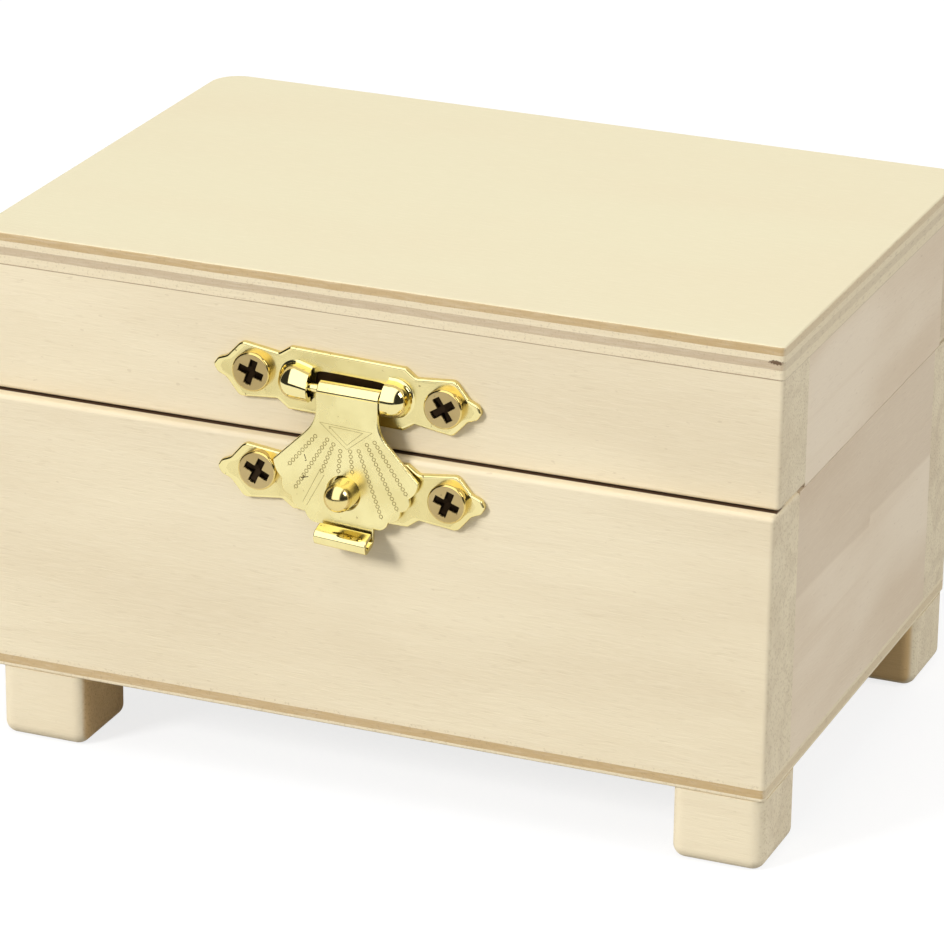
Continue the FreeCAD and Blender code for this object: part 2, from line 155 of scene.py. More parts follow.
def soft_lamp(name, place, aim, size, power, mirrored):
    """A square soft lamp at a place, turned towards the aim. Metal shows it if mirrored is set."""
    lamp = bpy.data.lights.new(name, "AREA")
    lamp.shape = "SQUARE"
    lamp.size = size
    lamp.energy = power
    held = bpy.data.objects.new(name, lamp)
    held.location = place
    held.rotation_euler = (Vector(aim) - Vector(place)).to_track_quat("-Z", "Y").to_euler()
    held.visible_glossy = mirrored
    bpy.context.scene.collection.objects.link(held)


CHEST_MIDDLE = (0, 0, 0.03)
soft_lamp("lamp_front_left", (-0.95, -1.42, 0.98), CHEST_MIDDLE, 0.5, 28.5, False)
soft_lamp("lamp_right", (1.50, 0.05, 1.16), CHEST_MIDDLE, 0.8, 13.8, True)
soft_lamp("lamp_above", (-0.10, -0.55, 1.60), CHEST_MIDDLE, 0.7, 3.4, False)

# The camera stands well back, to the right of the clasp and above.
CAMERA_YAW = 0.384
CAMERA_PITCH = 0.374
CAMERA_ROLL = 0.013
FOCAL_PIXELS = 4911.84
PICTURE_PIXELS = 944
SENSOR_WIDTH = 36
MM = 0.001
CAMERA_PLACE = Vector((187.38, -463.58, 222.63)) * MM

cos_yaw, sin_yaw = math.cos(CAMERA_YAW), math.sin(CAMERA_YAW)
cos_pitch, sin_pitch = math.cos(CAMERA_PITCH), math.sin(CAMERA_PITCH)
ahead = Vector((-sin_yaw * cos_pitch, cos_yaw * cos_pitch, -sin_pitch))
level_right = Vector((cos_yaw, sin_yaw, 0))
level_up = Vector((-sin_yaw * sin_pitch, cos_yaw * sin_pitch, cos_pitch))
right = math.cos(CAMERA_ROLL) * level_right + math.sin(CAMERA_ROLL) * level_up
up = math.cos(CAMERA_ROLL) * level_up - math.sin(CAMERA_ROLL) * level_right
camera_data = bpy.data.cameras.new("camera")
camera_data.sensor_width = SENSOR_WIDTH
camera_data.lens = FOCAL_PIXELS / PICTURE_PIXELS * SENSOR_WIDTH
camera_data.clip_start = 0.01
camera_data.clip_end = 20
camera = bpy.data.objects.new("camera", camera_data)
turn = Matrix((right, up, -ahead)).transposed()
camera.matrix_world = Matrix.Translation(CAMERA_PLACE) @ turn.to_4x4()
bpy.context.scene.collection.objects.link(camera)
bpy.context.scene.camera = camera
bpy.context.scene.view_settings.view_transform = "Standard"


# Body boards. Four pale poplar boards, glued into a frame: the front and back run the full width,
# so their end grain shows at the corners. Sawn, glued, then sanded by machine and left bare.

FRONT_CREAM = (0.826, 0.720, 0.512)
FRONT_DEEP = (0.766, 0.655, 0.458)
BACK_DEEP = (0.690, 0.570, 0.395)
SIDE_CREAM = (0.845, 0.725, 0.555)
SIDE_DEEP = (0.735, 0.600, 0.435)
WOOD_RELIEF = 0.045 * MM
BAND_SWAY = 0.8 * MM
BAND_FALL = 0.033
BAND_STEP_AT = 1.8 * MM
BAND_STEP_WIDTH = 0.3 * MM
BAND_STEP = 1.05 * MM
BAND_BLUR = 0.7 * MM
# Painted shade: the front board's rim is painted dark brown behind the lid's front face, as the shade
# inside the saw cut between lid and body.
CUT_SHADE_START = 0.06 * MM
CUT_SHADE_DEPTH = 1.8 * MM
CUT_SHADE_RAGGED = 2.2 * MM


def cloud(tree, coords, grain, along, across, shift, detail=2.0, roughness=0.5, distortion=0.0):
    """The value, about 0 to 1, of a noise in the object's coordinates: `along` patches in a metre
    in the direction of the grain, and `across` over it."""
    scale = tuple(along if axis == grain else across for axis in "XYZ")
    scaled = {"Vector": coords, "Location": shift, "Scale": scale}
    noise = {
        "Vector": shader(tree, "ShaderNodeMapping", scaled).outputs[0],
        "Scale": 1.0,
        "Detail": detail,
        "Roughness": roughness,
        "Distortion": distortion,
    }
    return shader(tree, "ShaderNodeTexNoise", noise).outputs[0]


def tinted(tree, factor, first, second, mode="MIX"):
    """The colour between first and second by the factor, or by another blend mode."""
    made = shader(tree, "ShaderNodeMix", data_type="RGBA", blend_type=mode)
    for key, value in ((0, factor), (6, first), (7, second)):
        if isinstance(value, bpy.types.NodeSocket):
            tree.links.new(value, made.inputs[key])
        else:
            made.inputs[key].default_value = tuple(value) + (1,) if key else value
    return made.outputs[2]


def wood_surface(material, end, colour, height, roughness, depth):
    """Bare wood: a low sheen, and a bump as deep as the depth in metres where the height is 1."""
    tree = material.node_tree
    bump = shader(tree, "ShaderNodeBump", {"Strength": 1.0, "Distance": depth, "Height": height})
    surface = shader(
        tree,
        "ShaderNodeBsdfPrincipled",
        {
            "Base Color": colour,
            "Roughness": roughness,
            "Normal": bump.outputs[0],
            "Specular IOR Level": 0.22,
        },
    )
    tree.links.new(surface.outputs[0], end.inputs["Surface"])


def poplar(name, grain, cream, deep, shift, band=None, under_shade=None, cut_shade=None):
    """Poplar as a solid: everything is drawn out along the grain, so that a cut across it shows
    dots where a cut along it shows streaks. A band is (low, strength, colour): heartwood above a
    height that falls to the back and steps up half way. The seventh argument, (axis, sign, colour),
    paints one side darker as shade, where that side faces in under the chest. The eighth is the Y
    behind which the rim is painted dark brown as the shade inside the saw cut between lid and body;
    that painted shade ends raggedly, about 2 mm further back."""
    material, end = new_material(name)
    tree = material.node_tree
    where = shader(tree, "ShaderNodeTexCoord").outputs
    coords = where["Object"]
    broad = cloud(tree, coords, grain, 22, 75, shift, 2, 0.55)
    rings = cloud(tree, coords, grain, 9, 420, shift, 3, 0.6, 0.4)
    fibre = cloud(tree, coords, grain, 300, 3600, shift, 3, 0.65, 1.1)
    pores = cloud(tree, coords, grain, 560, 3600, shift, 1, 0.4)
    flecks = cloud(tree, coords, grain, 900, 2600, shift, 1, 0.4)
    colour = tinted(tree, between(tree, broad, 0.35, 0.68), cream, deep)
    colour = tinted(tree, between(tree, rings, 0.50, 0.72, 0.0, 0.45), colour, deep)
    place = shader(tree, "ShaderNodeSeparateXYZ", {0: coords}).outputs
    normal = shader(tree, "ShaderNodeSeparateXYZ", {0: where["Normal"]}).outputs
    if band:
        low, strength, shade = band
        sway = cloud(tree, coords, grain, 30, 60, shift, 2)
        height = math_node(tree, "MULTIPLY_ADD", sway, BAND_SWAY, place["Z"])
        height = math_node(tree, "MULTIPLY_ADD", place["Y"], BAND_FALL, height)
        step_end = BAND_STEP_AT + BAND_STEP_WIDTH
        step = between(tree, place["Y"], BAND_STEP_AT, step_end, 0.0, -BAND_STEP)
        height = math_node(tree, "ADD", height, step)
        amount = between(tree, height, low, low + BAND_BLUR, 0.0, strength)
        colour = tinted(tree, amount, colour, shade)
    end_grain = between(tree, math_node(tree, "ABSOLUTE", normal[grain]), 0.55, 0.95)
    darker = tuple(value * shade for value, shade in zip(deep, (0.60, 0.52, 0.44)))
    patchy = cloud(tree, coords, grain, 60, 260, shift, 3, 0.6, 0.8)
    colour = tinted(
        tree,
        math_node(tree, "MULTIPLY", end_grain, between(tree, patchy, 0.42, 0.62, 0.0, 0.30)),
        colour,
        tuple(value * shade for value, shade in zip(deep, (0.80, 0.76, 0.74))),
    )
    pore_mark = between(tree, pores, 0.62, 0.78, 0.0, 0.10)
    end_mark = between(tree, pores, 0.50, 0.70, 0.0, 0.34)
    end_mark = math_node(tree, "MULTIPLY", end_mark, end_grain)
    marks = math_node(tree, "MAXIMUM", pore_mark, end_mark)
    colour = tinted(tree, marks, colour, darker)
    colour = tinted(tree, between(tree, fibre, 0.40, 0.75, 0.0, 0.16), colour, (0.93, 0.84, 0.66))
    colour = tinted(tree, between(tree, flecks, 0.74, 0.80, 0.0, 0.22), colour, darker)
    # Painted shade: the side facing the given way is multiplied darker and browner, as the shade that
    # falls on it under the chest.
    if under_shade:
        axis, sign, shade = under_shade
        turned = math_node(tree, "MULTIPLY", normal[axis], sign)
        colour = tinted(tree, between(tree, turned, 0.6, 0.9), colour, shade, "MULTIPLY")
    # Painted shade: the rim's top behind the given Y turns dark brown, for the shade inside the saw cut,
    # and fades out raggedly further back.
    if cut_shade:
        ragged = cloud(tree, coords, grain, 160, 700, shift, 3, 0.6)
        depth = math_node(tree, "MULTIPLY_ADD", ragged, -CUT_SHADE_RAGGED, place["Y"])
        amount = between(tree, place["Y"], cut_shade, cut_shade + CUT_SHADE_START)
        inner = between(tree, depth, cut_shade, cut_shade + CUT_SHADE_DEPTH, 1.0, 0.0)
        amount = math_node(tree, "MULTIPLY", amount, inner)
        amount = math_node(tree, "MULTIPLY", amount, between(tree, normal["Z"], 0.8, 0.95))
        colour = tinted(tree, amount, colour, (0.10, 0.055, 0.03))
    height = math_node(tree, "MULTIPLY_ADD", marks, -1.6, fibre)
    roughness = between(tree, fibre, 0.3, 0.7, 0.60, 0.74)
    wood_surface(material, end, colour, height, roughness, WOOD_RELIEF)
    return material


def dressed(node, material):
    """Gives a node of the frame its material, in every slot that it has."""
    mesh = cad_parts[node].data
    if not mesh.materials:
        mesh.materials.append(material)
    for slot in range(len(mesh.materials)):
        mesh.materials[slot] = material


# The Y behind which the body's front rim is painted dark, as the shade in the saw cut under the lid.
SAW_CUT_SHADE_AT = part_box("lid_front_board")[0].y - 0.10 * MM
HEARTWOOD = (0.0270, 0.5, (0.62, 0.49, 0.345))
dressed(
    "body_front_board",
    poplar("front_poplar", "X", FRONT_CREAM, FRONT_DEEP, (1.3, 0.2, 5.1), cut_shade=SAW_CUT_SHADE_AT),
)
dressed("body_back_board", poplar("back_poplar", "X", FRONT_CREAM, BACK_DEEP, (7.7, 3.2, 1.4)))
dressed(
    "body_right_board",
    poplar("right_poplar", "Y", SIDE_CREAM, SIDE_DEEP, (4.1, 8.6, 2.2), band=HEARTWOOD),
)
dressed("body_left_board", poplar("left_poplar", "Y", SIDE_CREAM, SIDE_DEEP, (9.4, 1.6, 6.2)))


# Bottom. A thin three-ply panel, glued under the boards: two pale veneers with a brown one
# between, whose cut edge shows as a stripe all round.

BOTTOM_LOW, BOTTOM_HIGH = (corner.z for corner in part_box("bottom_panel"))
PLY_PALE = (0.800, 0.690, 0.480)
PLY_BROWN = (0.535, 0.380, 0.190)
PLY_RELIEF = 0.04 * MM
VENEER_SWAY = 0.16 * MM


def plywood(name, low, high, layers, shift, void=None):
    """Plywood as a solid: the height, with a slight sway, picks the veneer, from (share of the
    thickness, colour) pairs that start at the bottom. Cut edges are specked, and paler where they
    face the sides. A void is the location and scale that carry a small knot hole to a ball of
    radius 1 about the origin."""
    material, end = new_material(name)
    tree = material.node_tree
    where = shader(tree, "ShaderNodeTexCoord").outputs
    coords = where["Object"]
    height = shader(tree, "ShaderNodeSeparateXYZ", {0: coords}).outputs["Z"]
    sway = cloud(tree, coords, "Z", 60, 130, shift, 3)
    sway = math_node(tree, "MULTIPLY_ADD", sway, VENEER_SWAY, -VENEER_SWAY / 2)
    height = math_node(tree, "ADD", height, sway)
    level = shader(
        tree, "ShaderNodeMapRange", {"Value": height, "From Min": low, "From Max": high}
    ).outputs[0]
    veneers = shader(tree, "ShaderNodeValToRGB", {"Fac": level})
    ramp = veneers.color_ramp
    ramp.interpolation = "CONSTANT"
    start = 0.0
    for share, colour in layers:
        stop = ramp.elements.new(start) if start else ramp.elements[0]
        stop.position = start
        stop.color = tuple(colour) + (1,)
        start += share
    ramp.elements.remove(ramp.elements[-1])
    along = cloud(tree, coords, "X", 420, 4200, shift, 3, 0.6)
    normal = shader(tree, "ShaderNodeSeparateXYZ", {0: where["Normal"]}).outputs
    side = between(tree, math_node(tree, "ABSOLUTE", normal["X"]), 0.4, 0.9, 0.0, 0.6)
    specks = cloud(tree, coords, "Y", 900, 3600, shift, 2, 0.6)
    broad = cloud(tree, coords, "X", 16, 60, shift, 2, 0.5)
    colour = tinted(tree, side, veneers.outputs[0], PLY_PALE)
    colour = tinted(tree, between(tree, broad, 0.35, 0.70, 0.0, 0.18), colour, (0.74, 0.60, 0.40))
    edge = between(tree, math_node(tree, "ABSOLUTE", normal["Z"]), 0.5, 0.9, 1.0, 0.0)
    speck_mark = between(tree, specks, 0.52, 0.74, 0.0, 0.30)
    speck_mark = math_node(tree, "MULTIPLY", speck_mark, edge)
    colour = tinted(tree, speck_mark, colour, (0.36, 0.25, 0.15))
    colour = tinted(tree, between(tree, along, 0.42, 0.75, 0.0, 0.16), colour, (0.93, 0.86, 0.68))
    if void:
        shape = shader(
            tree, "ShaderNodeMapping", {"Vector": coords, "Location": void[0], "Scale": void[1]}
        ).outputs[0]
        away = shader(tree, "ShaderNodeVectorMath", {0: shape}, operation="LENGTH").outputs["Value"]
        away = math_node(tree, "MULTIPLY_ADD", specks, 1.6, away)
        colour = tinted(tree, between(tree, away, 1.5, 1.9, 0.9, 0.0), colour, (0.11, 0.06, 0.03))
    height = math_node(tree, "MULTIPLY_ADD", speck_mark, -1.2, along)
    roughness = between(tree, along, 0.3, 0.7, 0.56, 0.68)
    wood_surface(material, end, colour, height, roughness, PLY_RELIEF)
    return material


dressed(
    "bottom_panel",
    plywood(
        "three_ply",
        BOTTOM_LOW,
        BOTTOM_HIGH,
        ((0.24, PLY_PALE), (0.52, PLY_BROWN), (0.24, PLY_PALE)),
        (2.0, 5.0, 1.0),
    ),
)


# Feet. Four small poplar blocks with their edges tumbled round, glued under the bottom panel;
# the grain runs left to right, so the end grain faces the sides.

# Painted shade: two feet have one face tinted darker and browner for the shade under the chest, the
# front left foot's right side and the back right foot's front.
FOOT_UNDER_SHADE = (0.88, 0.70, 0.47)
UNDER_SHADED_FEET = {"foot_front_left": ("X", 1.0, FOOT_UNDER_SHADE), "foot_back_right": ("Y", -1.0, FOOT_UNDER_SHADE)}
FEET = ("foot_front_left", "foot_front_right", "foot_back_left", "foot_back_right")
for count, foot in enumerate(FEET):
    shift = (count * 3.3, 1.7, 4.4)
    dressed(foot, poplar(foot + "_poplar", "X", FRONT_CREAM, FRONT_DEEP, shift, under_shade=UNDER_SHADED_FEET.get(foot)))


# Lid boards. The upper part of the same frame, sawn off the body after gluing. Three of them have
# settled towards the body, so that only a hair of the saw cut is left open at the front.

FRONT_SETTLED = 0.22 * MM
SIDES_SETTLED = 0.33 * MM
RIM_DEPTH = 1.5 * MM


def merged_copy(node, name, body, material):
    """A copy of a node with its loose triangles joined, which stands for that node."""
    copy = bpy.data.objects.new(name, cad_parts[node].data.copy())
    bpy.context.scene.collection.objects.link(copy)
    copy.data.attributes.remove(copy.data.attributes["custom_normal"])
    shape = bmesh.new()
    shape.from_mesh(copy.data)
    bmesh.ops.remove_doubles(shape, verts=shape.verts, dist=1e-6)
    bmesh.ops.dissolve_limit(
        shape, angle_limit=math.radians(1), verts=shape.verts, edges=shape.edges, delimit={"NORMAL"}
    )
    shape.normal_update()
    for face in shape.faces:
        face.smooth = max(abs(value) for value in face.normal) < 0.9999
    shape.to_mesh(copy.data)
    shape.free()
    copy.data.set_sharp_from_angle(angle=math.radians(35))
    copy.data.materials.clear()
    copy.data.materials.append(material)
    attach(copy, body)
    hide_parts(node)
    return copy


def settled_board(node, material, drop):
    """A lid board whose rim, all points within its depth, is let down by the same amount."""
    board = merged_copy(node, node + "_settled", "lid", material)
    places = np.empty(3 * len(board.data.vertices), np.float32)
    board.data.vertices.foreach_get("co", places)
    heights = places[2::3]
    heights[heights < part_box(node)[0].z + RIM_DEPTH] -= drop
    board.data.vertices.foreach_set("co", places)
    board.data.update()


lid_front_poplar = poplar("lid_front_poplar", "X", FRONT_CREAM, FRONT_DEEP, (3.9, 6.6, 0.3))
lid_right_poplar = poplar("lid_right_poplar", "Y", SIDE_CREAM, SIDE_DEEP, (6.4, 4.6, 9.3))
lid_left_poplar = poplar("lid_left_poplar", "Y", SIDE_CREAM, SIDE_DEEP, (8.1, 7.6, 3.3))
settled_board("lid_front_board", lid_front_poplar, FRONT_SETTLED)
settled_board("lid_right_board", lid_right_poplar, SIDES_SETTLED)
settled_board("lid_left_board", lid_left_poplar, SIDES_SETTLED)
dressed("lid_back_board", poplar("lid_back_poplar", "X", FRONT_CREAM, BACK_DEEP, (5.5, 2.6, 8.3)))


# Lid top. One five-ply panel with a smooth pale face, glued flat over the lid's boards and sanded
# flush; its cut edge shows two brown veneers between three pale ones, over a dark glue line.

TOP_LOW, TOP_HIGH = (corner.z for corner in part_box("lid_top_panel"))
TOP_FACE = (0.762, 0.690, 0.472)
KNOT_AT = Vector((44.1, -28.98, 55.45))
KNOT_REACH = Vector((0.85, 0.6, 0.24))
dressed(
    "lid_top_panel",
    plywood(
        "five_ply",
        TOP_LOW,
        TOP_HIGH,
        (
            (0.03, (0.40, 0.30, 0.19)),
            (0.27, PLY_PALE),
            (0.24, (0.560, 0.445, 0.300)),
            (0.19, PLY_PALE),
            (0.235, PLY_BROWN),
            (0.035, TOP_FACE),
        ),
        (1.0, 2.0, 7.0),
        (
            [-at / reach for at, reach in zip(KNOT_AT, KNOT_REACH)],
            [1 / (reach * MM) for reach in KNOT_REACH],
        ),
    ),
)


# Butt hinges. Two small brass hinges behind: one leaf let into the body's rim, one into the
# lid's, rolled round a pin that is headed over at both ends.

METAL_RELIEF = 0.02 * MM


def metal(name, colour, roughness, wear, dark, scale=1.0):
    """Polished or satin metal: fine rolling marks, dull patches, and small pits of the dark
    colour, as strong as the wear (0 to 1)."""
    material, end = new_material(name)
    tree = material.node_tree
    coords = shader(tree, "ShaderNodeTexCoord").outputs["Object"]
    patches = cloud(tree, coords, "X", 160 * scale, 160 * scale, (0, 0, 0), 3, 0.6)
    marks = cloud(tree, coords, "X", 260 * scale, 4200 * scale, (0, 0, 0), 2, 0.6)
    pits = cloud(tree, coords, "X", 1500 * scale, 1500 * scale, (3, 1, 2), 2, 0.5)
    pit = between(tree, pits, 0.70, 0.78, 0.0, wear)
    tint = tuple(value * shade for value, shade in zip(colour, (0.93, 0.90, 0.82)))
    shown = tinted(tree, between(tree, patches, 0.35, 0.75), colour, tint)
    shown = tinted(tree, pit, shown, dark)
    rough = between(tree, patches, 0.35, 0.75, roughness, roughness * 1.5)
    rough = math_node(tree, "MULTIPLY_ADD", pit, 0.3, rough)
    height = math_node(tree, "MULTIPLY_ADD", marks, 0.25, patches)
    height = math_node(tree, "MULTIPLY_ADD", pit, -0.5, height)
    relief = {"Strength": 0.35, "Distance": METAL_RELIEF, "Height": height}
    bump = shader(tree, "ShaderNodeBump", relief)
    surface = shader(
        tree,
        "ShaderNodeBsdfPrincipled",
        {"Base Color": shown, "Metallic": 1.0, "Roughness": rough, "Normal": bump.outputs[0]},
    )
    tree.links.new(surface.outputs[0], end.inputs["Surface"])
    return material


hinge_brass = metal("hinge_brass", (0.86, 0.68, 0.34), 0.24, 0.6, (0.20, 0.13, 0.05))


def eased_copy(node, body, material, width):
    """A copy of a node with every sharp edge eased by a small bevel, to stand for that node."""
    copy = merged_copy(node, node + "_eased", body, material)
    bevel = copy.modifiers.new("eased", "BEVEL")
    bevel.width = width
    bevel.segments = 2
    bevel.limit_method = "ANGLE"
    bevel.angle_limit = math.radians(40)
    bevel.harden_normals = True


LEAF_EASING = 0.08 * MM
for side in ("left", "right"):
    eased_copy(f"hinge_{side}_body_leaf", "box", hinge_brass, LEAF_EASING)
    eased_copy(f"hinge_{side}_lid_leaf", "lid", hinge_brass, LEAF_EASING)
    dressed(f"hinge_{side}_pin", hinge_brass)
dressed("hinge_body_screws", hinge_brass)
dressed("hinge_lid_screws", hinge_brass)


# Lower clasp plate. Thin brass sheet, stamped to an outline with shoulders, screw lobes and
# blunt ogee tips, its front edge left round by the punch; two screws hold it to the body.

LOWER_PLATE_CENTRE = np.array((-0.95, -31.175, 35.75))
PLATE_THICKNESS = 0.7
PLATE_BACK_ROUND = 0.05
PLATE_EDGE_ROUND = 0.22
PLATE_DISH = 0.02
PLATE_QUARTER = (
    (6.45, 3.45, 0.4),
    (7.7, 2.55, 0.4),
    (12.0, 3.05, 0.9),
    (13.55, 1.22, 1.2),
    (14.6, 0.80, 0.7),
)
PLATE_TIP = (15.08, 0.0, 0.5)
POCKET_EASING = 0.06
POCKET_DEPTH = 0.55
BRIGHT_ROWS = 14
OUTLINE_POINTS = 640
FACE_RINGS = 40

# The faces keep the satin of the rolled sheet; edges, curls and domes are polished by the tools.
plate_brass = metal("plate_brass", (0.80, 0.695, 0.33), 0.22, 0.8, (0.25, 0.17, 0.06))
bright_brass = metal("bright_brass", (0.84, 0.74, 0.36), 0.07, 0.9, (0.20, 0.13, 0.05))


def evenly(points, count):
    """A closed run of points laid out again at equal distances along itself."""
    closed = np.vstack((points, points[:1]))
    steps = np.hypot(*np.diff(closed, axis=0).T)
    run = np.concatenate(((0,), np.cumsum(steps)))
    at = np.linspace(0, run[-1], count, endpoint=False)
    return np.stack([np.interp(at, run, closed[:, axis]) for axis in (0, 1)], axis=1)


def rounded_outline(corners, count):
    """A closed outline from corners (x, z, radius): a tangent arc at each, straight between."""
    given = np.array(corners, float)
    here, radius = given[:, :2], given[:, 2:]
    to_last = np.roll(here, 1, axis=0) - here
    to_next = np.roll(here, -1, axis=0) - here
    to_last /= np.linalg.norm(to_last, axis=1, keepdims=True)
    to_next /= np.linalg.norm(to_next, axis=1, keepdims=True)
    half = np.arccos(np.clip((to_last * to_next).sum(1, keepdims=True), -1, 1)) / 2
    bisector = to_last + to_next
    bisector /= np.linalg.norm(bisector, axis=1, keepdims=True)
    centre = here + bisector * radius / np.sin(half)
    first = here + to_last * radius / np.tan(half) - centre
    last = here + to_next * radius / np.tan(half) - centre
    share = np.linspace(0, 1, 13)[None, :, None]
    sweep = np.pi - 2 * half[:, None, :]
    weights = np.sin((1 - share) * sweep), np.sin(share * sweep)
    arcs = centre[:, None] + (weights[0] * first[:, None] + weights[1] * last[:, None]) / np.sin(sweep)
    return evenly(arcs.reshape(-1, 2), count)


def outward(outline):
    """The unit direction out of a closed outline that runs clockwise, at each of its points."""
    along = np.roll(outline, -1, axis=0) - np.roll(outline, 1, axis=0)
    side = np.stack((-along[:, 1], along[:, 0]), axis=1)
    return side / np.linalg.norm(side, axis=1, keepdims=True)


def grid_faces(rows, columns, wrap):
    """Corner numbers of the quads of a grid, whose last column joins the first if wrap is set."""
    row = np.arange(rows - 1)[:, None]
    column = np.arange(columns if wrap else columns - 1)[None, :]
    after = (column + 1) % columns
    corners = (
        row * columns + column, row * columns + after,
        (row + 1) * columns + after, (row + 1) * columns + column,
    )
    return np.stack(corners, axis=-1).reshape(-1, 4)


def sheet_piece(name, grids, materials, body, replaced, sharp=40):
    """One mesh from several grids of points in mm: each is (points, wrap, flip, material)."""
    points, faces, marks, start = [], [], [], 0
    for grid, wrap, flip, mark in grids:
        rows, columns = grid.shape[:2]
        quads = grid_faces(rows, columns, wrap)
        faces.append((quads[:, ::-1] if flip else quads) + start)
        marks.append(np.full(len(quads), mark))
        points.append(grid.reshape(-1, 3) * MM)
        start += rows * columns
    points, faces = np.vstack(points), np.vstack(faces)
    mesh = bpy.data.meshes.new(name)
    mesh.from_pydata(points, [], faces.tolist())
    mesh.polygons.foreach_set("material_index", np.concatenate(marks).astype(np.int32))
    mesh.polygons.foreach_set("use_smooth", np.ones(len(faces), bool))
    for material in materials:
        mesh.materials.append(material)
    mesh.validate()
    mesh.update()
    mesh.set_sharp_from_angle(angle=math.radians(sharp))
    made = bpy.data.objects.new(name, mesh)
    bpy.context.scene.collection.objects.link(made)
    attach(made, body)
    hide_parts(*replaced)
    return made


def edge_profile(thickness, back_round, front_round):
    """(inset, depth) of a sheet's edge from its back, round to its front face: two quarter arcs
    joined by the straight wall. Depth is 0 at the front face."""
    back = np.linspace(0, np.pi / 2, 4)
    front = np.linspace(0, np.pi / 2, 8)
    inset = np.concatenate((back_round * (1 - np.sin(back)), front_round * (1 - np.cos(front))))
    depth = np.concatenate(
        (thickness - back_round * (1 - np.cos(back)), front_round * (1 - np.sin(front)))
    )
    return inset, depth


def pocket_edge(angle, left, right, half_height):
    """The edge of a rounded pocket, x / a and z / b to the eighth power adding up to 1, met by
    rays at the given angles from its middle."""
    reach = np.where(np.cos(angle) > 0, right, left)
    away = ((np.abs(np.cos(angle)) / reach) ** 8 + (np.abs(np.sin(angle)) / half_height) ** 8) ** -0.125
    return np.stack((away * np.cos(angle), away * np.sin(angle)), axis=-1)


def pressed_plate(centre, pocket=None):
    """A clasp plate: rings that go round the edge's profile, then shrink to the middle of the
    face, or to a pocket's edge and down to its floor. The face is dished in low waves, by the
    cosines of its place, so that it doesn't mirror like glass."""
    lower = [(x, -z, radius) for x, z, radius in PLATE_QUARTER]
    right = list(PLATE_QUARTER) + [PLATE_TIP] + lower[::-1]
    left = [(-x, z, radius) for x, z, radius in right[::-1]]
    outline = rounded_outline(right + left, OUTLINE_POINTS)
    out = outward(outline)
    inset, depth = edge_profile(PLATE_THICKNESS, PLATE_BACK_ROUND, PLATE_EDGE_ROUND)
    rim = outline[None] - inset[:, None, None] * out[None]
    inner = 0 * outline
    if pocket:
        inner = pocket_edge(np.arctan2(rim[-1][:, 1], rim[-1][:, 0]), *pocket)
    share = np.linspace(0, 1, FACE_RINGS)[1:, None, None]
    face = rim[-1][None] * (1 - share) + inner[None] * share
    x, z = np.moveaxis(np.concatenate((rim, face, face[-1:], face[-1:], 0 * face[-1:])), -1, 0)
    wave = PLATE_DISH * (np.cos(x * 0.9 + 0.4) * np.cos(z * 0.8 - 0.3) + 0.5 * np.cos(x * 0.37))
    level = np.concatenate((depth, np.zeros(len(face)), (POCKET_EASING, POCKET_DEPTH, POCKET_DEPTH)))
    fade = np.concatenate((np.zeros(len(rim)), np.minimum(1, share[:, 0, 0] * 4), (0, 0, 0)))
    y = level[:, None] + wave * fade[:, None]
    points = np.stack((x, y, z), axis=-1) + centre
    return points if pocket else points[:-3]


def plate_grids(points):
    """The plate's bright rounded edge and its satin face, which share a row of points."""
    return [(points[:BRIGHT_ROWS], True, False, 1), (points[BRIGHT_ROWS - 1 :], True, False, 0)]


sheet_piece(
    "lower_plate_pressed",
    plate_grids(pressed_plate(LOWER_PLATE_CENTRE)),
    [plate_brass, bright_brass],
    "box",
    ["clasp_lower_plate"],
)


# Stud. A round-nosed brass pin with a low collar, turned and riveted through the lower plate; the
# hasp's hole drops over it.

STUD_RADIUS = 1.57
STUD_LENGTH = 4.25
STUD_COLLAR = ((1.75, 0.0), (1.75, 0.10), (1.62, 0.22), (STUD_RADIUS, 0.34))
STUD_CENTRE = LOWER_PLATE_CENTRE + (-0.05, 0, -0.2)


def turned_piece(profile, centre, count):
    """A profile of (radius, distance in front of the centre) carried round the Y axis."""
    angle = np.linspace(0, 2 * np.pi, count, endpoint=False)
    radius, reach = np.array(profile, float).T[:, :, None]
    x, z = radius * np.sin(angle), radius * np.cos(angle)
    return np.stack((x, -reach + 0 * x, z), axis=-1) + centre


quarter = np.linspace(0, np.pi / 2, 20)
nose = STUD_RADIUS * np.cos(quarter), STUD_LENGTH - STUD_RADIUS + STUD_RADIUS * np.sin(quarter)
stud_profile = list(STUD_COLLAR) + list(zip(*nose))
stud_brass = metal("stud_brass", (0.78, 0.64, 0.27), 0.17, 1.0, (0.14, 0.09, 0.04), 0.8)
sheet_piece(
    "stud_turned",
    [(turned_piece(stud_profile, STUD_CENTRE, 72), True, False, 0)],
    [stud_brass],
    "box",
    ["clasp_stud"],
)


# Upper clasp plate. The same stamping, screwed to the lid slightly askew, with two domed
# knuckles pressed out of the sheet, hollow and open towards the hasp, that hold the pin's ends,
# and between them a shallow pocket that clears the barrel, its floor painted near black as shade.

CLASP_AXIS = np.array((-0.95, -30.995, 45.85))
CLASP_TILT = 2.0
UPPER_PLATE_CENTRE = np.array((-2.05, -29.675, 45.85))
DOME_RADIUS = 1.9
DOME_WALL = 0.55
DOME_LIFT = 0.50
DOME_FILLET = 0.35
NECK_HALF_WIDTH = 3.45
DOMES = ((-1, 1.15, 1.85, 0.3, 0.10, 0.2), (1, 0.2, 0.7, 0.0, 0.0, 0.0))
HOLLOW_BEYOND = 0.8
POCKET = (3.4, 4.6, 1.45)


def tilted(points, angle):
    """Points turned about the clasp's axis point, in the plane of the box's front."""
    turn = math.radians(angle)
    x, y, z = np.moveaxis(points - CLASP_AXIS, -1, 0)
    turned = (x * math.cos(turn) + z * math.sin(turn), y, z * math.cos(turn) - x * math.sin(turn))
    return np.stack(turned, axis=-1) + CLASP_AXIS


